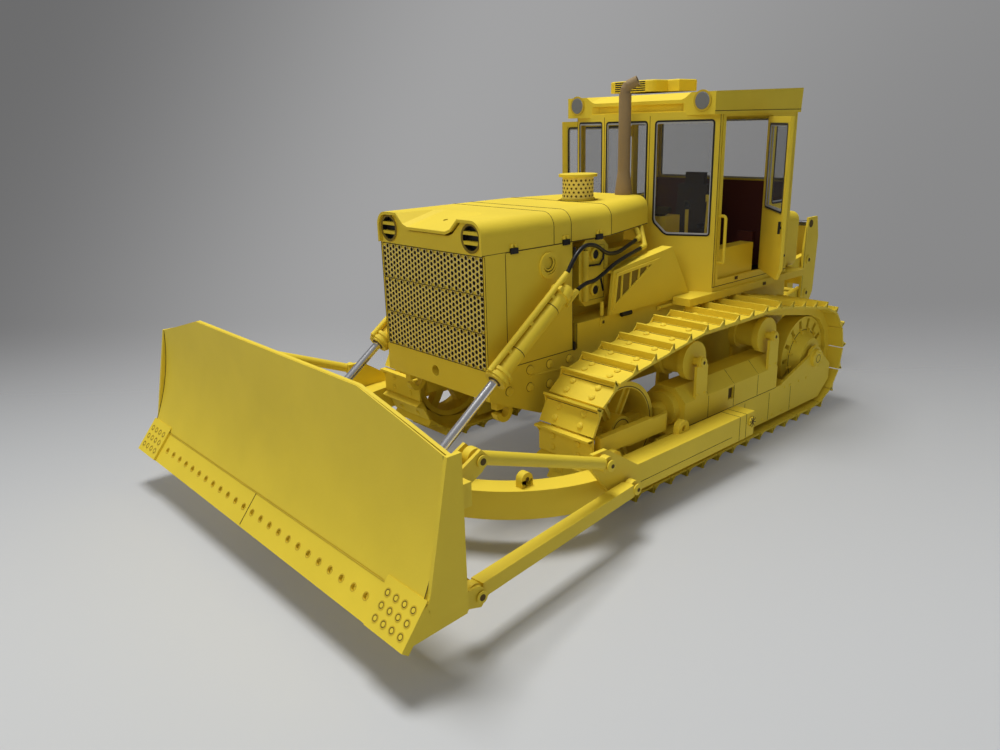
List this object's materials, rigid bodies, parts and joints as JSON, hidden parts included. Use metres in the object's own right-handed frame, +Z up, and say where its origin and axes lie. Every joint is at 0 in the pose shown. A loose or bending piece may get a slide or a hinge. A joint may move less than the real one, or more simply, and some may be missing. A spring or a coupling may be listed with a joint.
{
  "type": "card scale model of a crawler bulldozer",
  "caption": "Card scale model of a crawler bulldozer: lifting angle blade on a push frame, hydraulic cylinders, opening cab doors and a parallelogram rear ripper.",
  "frame": {"origin": "on the floor below the middle of the whole model, blade and ripper included", "axes": "+X forward to the blade, +Y to the machine's left, +Z up"},
  "size_m": [0.2612, 0.139, 0.1161],
  "materials": {
    "yellow_card": "satin painted card",
    "grille_card": "perforated card, paler rims",
    "lamp_card": "dark lamp faces",
    "brown_card": "brown card tube",
    "dark_card": "dark red-brown card",
    "clear_film": "clear film",
    "bright_rod": "bright round wire",
    "black_hose": "thin black insulated wire",
    "dark_rod": "dark grey rod"
  },
  "bodies": {
    "chassis": {"track_left": "yellow_card", "track_right": "yellow_card", "track_frame_left": "yellow_card", "track_frame_right": "yellow_card", "idlers": "yellow_card", "sprockets": "yellow_card", "carrier_rollers": "yellow_card", "bottom_rollers": "yellow_card", "main_frame": "yellow_card", "radiator_shell": "yellow_card", "grille": "grille_card", "front_lamps": "lamp_card", "hood": "yellow_card", "precleaner": "yellow_card", "exhaust_stack": "brown_card", "side_panels": "yellow_card", "bay_panels": "yellow_card", "engine_block": "yellow_card", "cab_floor": "yellow_card", "cab_front": "yellow_card", "cab_side_left": "yellow_card", "cab_side_right": "yellow_card", "cab_rear": "yellow_card", "roof": "yellow_card", "roof_lamps": "lamp_card", "roof_unit": "yellow_card", "window_glass": "clear_film", "seat": "dark_card", "controls": "yellow_card", "deck": "yellow_card", "fuel_tank": "yellow_card", "handrails": "yellow_card", "ripper_bracket": "yellow_card", "cab_pipes": "yellow_card", "hose_upper_left": "black_hose", "hose_upper_right": "black_hose", "hose_lower_left": "black_hose", "hose_lower_right": "black_hose"},
    "blade_frame": {"push_frame": "yellow_card", "blade": "yellow_card", "cutting_edge": "yellow_card", "braces": "yellow_card"},
    "lift_barrel_left": {"lift_barrel_left": "yellow_card"},
    "lift_barrel_right": {"lift_barrel_right": "yellow_card"},
    "lift_rod_left": {"lift_rod_left": "bright_rod"},
    "lift_rod_right": {"lift_rod_right": "bright_rod"},
    "door_left": {"door_left": "yellow_card", "door_glass_left": "clear_film"},
    "door_right": {"door_right": "yellow_card", "door_glass_right": "clear_film"},
    "ripper_lower_link": {"ripper_lower_link": "yellow_card"},
    "ripper_upper_link": {"ripper_upper_link": "yellow_card"},
    "ripper_beam": {"ripper_beam": "yellow_card"},
    "ripper_barrels": {"ripper_barrels": "yellow_card"},
    "ripper_rods": {"ripper_rods": "dark_rod"}
  },
  "joints": [
    {"name": "blade_lift", "type": "hinge", "parent": "chassis", "child": "blade_frame", "pos_m": [-0.01085, 0, 0.0138], "axis": [0, -1, 0], "range_deg": [-4.3, 8]},
    {"name": "lift_swing_left", "type": "hinge", "parent": "chassis", "child": "lift_barrel_left", "pos_m": [0.06535, 0.027, 0.042], "axis": [0, -1, 0], "range_deg": [-12.47, 23.2]},
    {"name": "lift_slide_left", "type": "slide", "parent": "lift_barrel_left", "child": "lift_rod_left", "axis": [0.8043, 0, -0.5942], "range_m": [-0.00864, 0.00464]},
    {"name": "lift_swing_right", "type": "hinge", "parent": "chassis", "child": "lift_barrel_right", "pos_m": [0.06535, -0.027, 0.042], "axis": [0, -1, 0], "range_deg": [-12.47, 23.2]},
    {"name": "lift_slide_right", "type": "slide", "parent": "lift_barrel_right", "child": "lift_rod_right", "axis": [0.8043, 0, -0.5942], "range_m": [-0.00864, 0.00464]},
    {"name": "door_hinge_left", "type": "hinge", "parent": "chassis", "child": "door_left", "pos_m": [-0.05365, 0.0297, 0.078], "axis": [0, 0, 1], "range_deg": [-44.5, 60]},
    {"name": "door_hinge_right", "type": "hinge", "parent": "chassis", "child": "door_right", "pos_m": [-0.05365, -0.0297, 0.078], "axis": [0, 0, -1], "range_deg": [-44.5, 60]},
    {"name": "ripper_lift", "type": "hinge", "parent": "chassis", "child": "ripper_lower_link", "pos_m": [-0.08665, 0, 0.026], "axis": [0, 1, 0], "range_deg": [-12.5, 8]},
    {"name": "ripper_upper_swing", "type": "hinge", "parent": "chassis", "child": "ripper_upper_link", "pos_m": [-0.08665, 0, 0.04], "axis": [0, 1, 0], "range_deg": [-12.5, 8]},
    {"name": "ripper_beam_swing", "type": "hinge", "parent": "ripper_lower_link", "child": "ripper_beam", "pos_m": [-0.12065, 0, 0.031], "axis": [0, 1, 0], "range_deg": [-8, 12.5]},
    {"name": "ripper_cylinder_swing", "type": "hinge", "parent": "chassis", "child": "ripper_barrels", "pos_m": [-0.08865, 0, 0.0195], "axis": [0, 1, 0], "range_deg": [-6.06, 3.88]},
    {"name": "ripper_cylinder_slide", "type": "slide", "parent": "ripper_barrels", "child": "ripper_rods", "axis": [-0.62, 0, 0.7846], "range_m": [-0.00525, 0.00336]}
  ],
  "couplings": [
    {"joint": "lift_swing_left", "follows": "blade_lift", "ratio": 2.9},
    {"joint": "lift_slide_left", "follows": "blade_lift", "m_per_rad": -0.061879},
    {"joint": "lift_swing_right", "follows": "blade_lift", "ratio": 2.9},
    {"joint": "lift_slide_right", "follows": "blade_lift", "m_per_rad": -0.061879},
    {"joint": "ripper_upper_swing", "follows": "ripper_lift", "ratio": 1},
    {"joint": "ripper_beam_swing", "follows": "ripper_lift", "ratio": -1},
    {"joint": "ripper_cylinder_swing", "follows": "ripper_lift", "ratio": 0.485},
    {"joint": "ripper_cylinder_slide", "follows": "ripper_lift", "m_per_rad": 0.024064}
  ]
}
